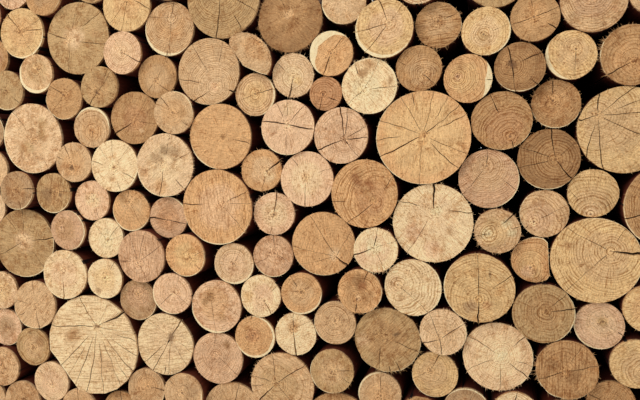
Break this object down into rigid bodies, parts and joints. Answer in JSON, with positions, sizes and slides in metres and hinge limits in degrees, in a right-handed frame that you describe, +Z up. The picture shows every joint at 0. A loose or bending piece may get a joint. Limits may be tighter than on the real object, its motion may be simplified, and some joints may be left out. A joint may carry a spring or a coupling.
{
  "type": "stack of logs",
  "caption": "Free-standing stack of barked round softwood logs of one length, piled with their sawn ends in one face and its sides sloping to the ground.",
  "frame": {"origin": "on the ground, at the middle of the stack's length and of the logs' length", "axes": "+X along the face of the stack, -Y out of the face that the picture shows, +Z up"},
  "size_m": [2.6116, 2.0258, 1.1682],
  "materials": {
    "barked_wood": "weathered debarked softwood, sawn ends, dry"
  },
  "bodies": {
    "root": {"course_01": "barked_wood", "course_02": "barked_wood", "course_03": "barked_wood", "course_04": "barked_wood", "course_05": "barked_wood", "course_06": "barked_wood", "course_07": "barked_wood", "course_08": "barked_wood", "course_09": "barked_wood", "course_10": "barked_wood", "course_11": "barked_wood", "course_12": "barked_wood"}
  },
  "joints": []
}
